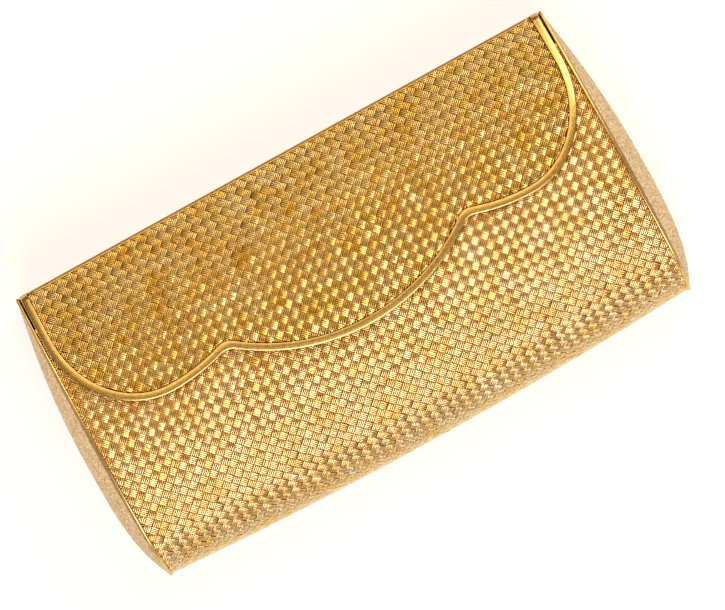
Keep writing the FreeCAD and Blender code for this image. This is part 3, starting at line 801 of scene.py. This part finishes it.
def end_cover(side, name, node, seed):
    """A domed end: at each height a circular arc across the end from front to back, whose rise
    falls off from its peak by one power towards the bottom and another towards the top,
    roughened by small bumps, with a flat back set into the plate, and closed at its top and
    bottom, with a narrow band of painted shade along its front and back edges by the plate."""
    rng = np.random.default_rng(seed)
    rows, columns = DOME_ROWS, DOME_COLUMNS
    share = (1 - np.cos(np.linspace(0, math.pi, rows))) / 2
    low, toe, turn, *_ = bottom_rounds(np.float64(HALF_SPAN))
    heel_y, toe_y = low + HEEL_RADIUS, low + toe
    y = low + DOME_MARGIN + share * (TOP - low - 2 * DOME_MARGIN)
    heel_reach = (HEEL_RADIUS - DOME_MARGIN) ** 2 - np.minimum(y - heel_y, 0) ** 2
    back_z = HEEL_RADIUS - np.sqrt(np.maximum(heel_reach, 0))
    toe_reach = (toe - DOME_MARGIN) ** 2 - np.minimum(y - toe_y, 0) ** 2
    handover = CREST_Y - (LOWER_RADIUS - DOME_MARGIN) * math.sin(turn)
    front_z = np.where(
        y < handover, HEEL_RADIUS + np.sqrt(np.maximum(toe_reach, 0)), crown_height(y, -DOME_MARGIN)
    )
    middle = (back_z + front_z)[:, None] / 2
    half = np.maximum(front_z - back_z, SLIVER)[:, None] / 2
    below = np.maximum(DOME_PEAK - share, 0) / DOME_PEAK
    above = np.maximum(share - DOME_PEAK, 0) / (1 - DOME_PEAK)
    rise = DOME_HEIGHT * (1 - below**DOME_LOW_FULL - above**DOME_HIGH_FULL)
    rise = np.maximum(rise, SLIVER)[:, None]
    radius = (half**2 + rise**2) / (2 * rise)
    turn_share = np.linspace(-1, 1, columns)[None, :]
    z = half * turn_share
    x = np.sqrt(radius**2 - z**2) - (radius - rise)
    from_ends = np.minimum(1, STIPPLE_FROM_ENDS * np.minimum(share, 1 - share))[:, None]
    from_sides = np.minimum(1, STIPPLE_FROM_SIDES * (1 - np.abs(turn_share)))
    x = np.maximum(x + rng.normal(0, STIPPLE, (rows, columns)) * from_ends * from_sides, 0)
    back = np.full_like(x, -DOME_SEAT)[:, 1:-1:DOME_BACK_STEP]
    # Painted shade in a narrow band along the dome's front and back edges, next to the plate; none on the
    # flat back
    seam = np.exp(-((half * (1 - np.abs(turn_share)) / DOME_SEAM_SHADE) ** 2))
    seam = np.concatenate([seam, 0 * back], axis=1)
    x = np.concatenate([x, back], axis=1)
    z = np.concatenate([z, z[:, ::-1][:, 1:-1:DOME_BACK_STEP]], axis=1) + middle
    points = np.stack(np.broadcast_arrays(side * (HALF_SPAN + x), y[:, None], z), axis=-1)
    grid = points.shape[:2]
    put_mesh(
        name,
        points,
        [grid_faces(*grid, close_columns=True), row_caps(*grid)],
        "case",
        STIPPLED_GOLD,
        [node],
        merge=True,
        marks={"shade_depth": seam},
    )


for side, side_name in ((-1, "left"), (1, "right")):
    end_rim(side, f"end_rim_{side_name}", f"end_plate_{side_name}")
    end_cover(side, f"end_cover_{side_name}", f"end_panel_{side_name}", 21 + side)


# Slot and spring of the catch


def slot_frame():
    """A thin bezel round the slot: a low rounded section carried round a rectangle on the crown."""
    section = np.array(
        [(0.02, -0.75), (0.02, 0.0), (0.1, 0.09), (0.3, 0.12), (0.5, 0.08), (0.6, -0.05), (0.6, -0.75)]
    )
    out = section[:, :1]
    t = np.linspace(0, 1, 9)[None, :-1]
    wide, low, high = SLOT_HALF + out, SLOT_LOW_Y - out, SLOT_HIGH_Y + out
    x = np.concatenate(
        [-wide + 2 * wide * t, wide + 0 * t, wide - 2 * wide * t, -wide + 0 * t], axis=1
    )
    y = np.concatenate([low + 0 * t, low + (high - low) * t, high + 0 * t, high + (low - high) * t], axis=1)
    points = np.stack([x, y, crown_height(y, section[:, 1:])], axis=-1)
    put_mesh(
        "catch_slot_frame",
        points,
        [grid_faces(*x.shape, close_rows=True, close_columns=True)],
        "case",
        SATIN_GOLD,
        merge=True,
    )


def spring_strip():
    """The folded strip behind the bolt: a rectangle with blunted corners carried along a cosine
    wave, from the end of the channel to the bolt."""
    low, high = (np.array(corner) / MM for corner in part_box("catch_spring"))
    share = np.linspace(0, 1, SPRING_STEPS)[:, None]
    length = high[0] - low[0] - SPRING_EASE
    swing = (high[2] - low[2] - SPRING_STRIP) / 2
    wave = (low[2] + high[2]) / 2 + swing * np.cos(SPRING_FOLDS * math.pi * share)
    blunt, thick = SPRING_BLUNT, SPRING_STRIP / 2
    y = np.array([low[1]] * 2 + [low[1] + blunt, high[1] - blunt] + [high[1]] * 2)
    y = np.concatenate([y, [high[1] - blunt, low[1] + blunt]])
    z = np.array([thick - blunt, blunt - thick, -thick, -thick, blunt - thick, thick - blunt, thick, thick])
    points = np.stack(np.broadcast_arrays(low[0] + length * share, y, wave + z), axis=-1)
    grid = points.shape[:2]
    strip = put_mesh(
        "catch_spring_strip",
        points,
        [grid_faces(*grid, close_columns=True), row_caps(*grid)],
        "case",
        SPRING_STEEL,
        ["catch_spring"],
        merge=True,
    )
    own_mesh(strip)


slot_frame()
spring_strip()


# Floor, light and camera

# The floor's half width and depth under the case in metres, its grey, and its lift to white
FLOOR_HALF, FLOOR_DROP = 6.0, 0.0003
FLOOR_GREY, FLOOR_LIFT = 0.42, 0.66


def pale_floor():
    """A plain floor that keeps the shadow, lifted to white where it is looked at."""
    corners = [(-1, -1), (1, -1), (1, 1), (-1, 1)]
    mesh = bpy.data.meshes.new("floor")
    mesh.from_pydata([(x * FLOOR_HALF, y * FLOOR_HALF, -FLOOR_DROP) for x, y in corners], [], [(0, 1, 2, 3)])
    material, nodes, links, shader = new_material("floor_white")
    shader.inputs["Base Color"].default_value = (FLOOR_GREY, FLOOR_GREY, FLOOR_GREY, 1)
    shader.inputs["Roughness"].default_value = 0.9
    shader.inputs["Specular IOR Level"].default_value = 0.1
    shader.inputs["Emission Color"].default_value = (1, 1, 1, 1)
    path = nodes.new("ShaderNodeLightPath")
    seen = path.outputs["Is Camera Ray"]
    for ray in ("Is Glossy Ray", "Is Transmission Ray"):
        either = nodes.new("ShaderNodeMath")
        either.operation = "MAXIMUM"
        links.new(seen, either.inputs[0])
        links.new(path.outputs[ray], either.inputs[1])
        seen = either.outputs[0]
    lifted = nodes.new("ShaderNodeMath")
    lifted.operation = "MULTIPLY"
    lifted.inputs[1].default_value = FLOOR_LIFT
    links.new(seen, lifted.inputs[0])
    links.new(lifted.outputs[0], shader.inputs["Emission Strength"])
    mesh.materials.append(material)
    floor = bpy.data.objects.new("floor", mesh)
    bpy.context.scene.collection.objects.link(floor)


def softbox(name, place, size, along, strength, colour):
    """A flat lamp at a place, of a size in metres, that faces the case with its length along a
    direction. Its strength is the brightness of its face in its colour."""
    lamp = bpy.data.lights.new(name, "AREA")
    lamp.shape = "RECTANGLE"
    lamp.color = colour
    lamp.size, lamp.size_y = size
    lamp.energy = strength * math.pi * size[0] * size[1]
    holder = bpy.data.objects.new(name, lamp)
    bpy.context.scene.collection.objects.link(holder)
    away = Vector(place).normalized()
    length = Vector(along) - away * away.dot(Vector(along))
    length.normalize()
    turn = Matrix((length, away.cross(length), away)).transposed()
    holder.matrix_world = Matrix.Translation(place) @ turn.to_4x4()


pale_floor()
softbox("upper_box", (1.338, 1.027, 1.412), (0.88, 1.6), (1, -1, 0), 4.6, (1, 0.9, 0.7))
softbox("top_box", (0.0, 0.979, 1.628), (1.6, 1.5), (1, 0, 0), 1.35, (1, 0.86, 0.54))
softbox("lower_box", (-0.305, -1.49, 1.60), (1.9, 1.9), (1, -1, 0), 3.6, (0.94, 0.98, 1))

# A warm glow that grows from the horizon to overhead
world = bpy.data.worlds.new("studio")
bpy.context.scene.world = world
world.use_nodes = True
sky, sky_links = world.node_tree.nodes, world.node_tree.links
sky["Background"].inputs["Color"].default_value = (1, 0.77, 0.36, 1)
heading = sky.new("ShaderNodeTexCoord")
height = sky.new("ShaderNodeSeparateXYZ")
sky_links.new(heading.outputs["Generated"], height.inputs["Vector"])
glow = spread(sky, sky_links, height.outputs["Z"], 0.06, 0.40, 0.0, 1.0)
sky_links.new(glow, sky["Background"].inputs["Strength"])

# The photograph looks straight at the front, with the case turned in the picture
TURN = math.radians(-28.85)
PICTURE_WIDTH = 0.1967
AIM = (0.00049, -0.00253, 0.016)
AWAY = 1.5
camera_data = bpy.data.cameras.new("camera")
camera_data.sensor_width = 36.0
camera_data.lens = camera_data.sensor_width * AWAY / PICTURE_WIDTH
camera_data.clip_end = 50.0
camera = bpy.data.objects.new("camera", camera_data)
bpy.context.scene.collection.objects.link(camera)
camera.location = (AIM[0], AIM[1], AIM[2] + AWAY)
camera.rotation_euler = (0, 0, TURN)
bpy.context.scene.camera = camera
bpy.context.scene.view_settings.view_transform = "Standard"
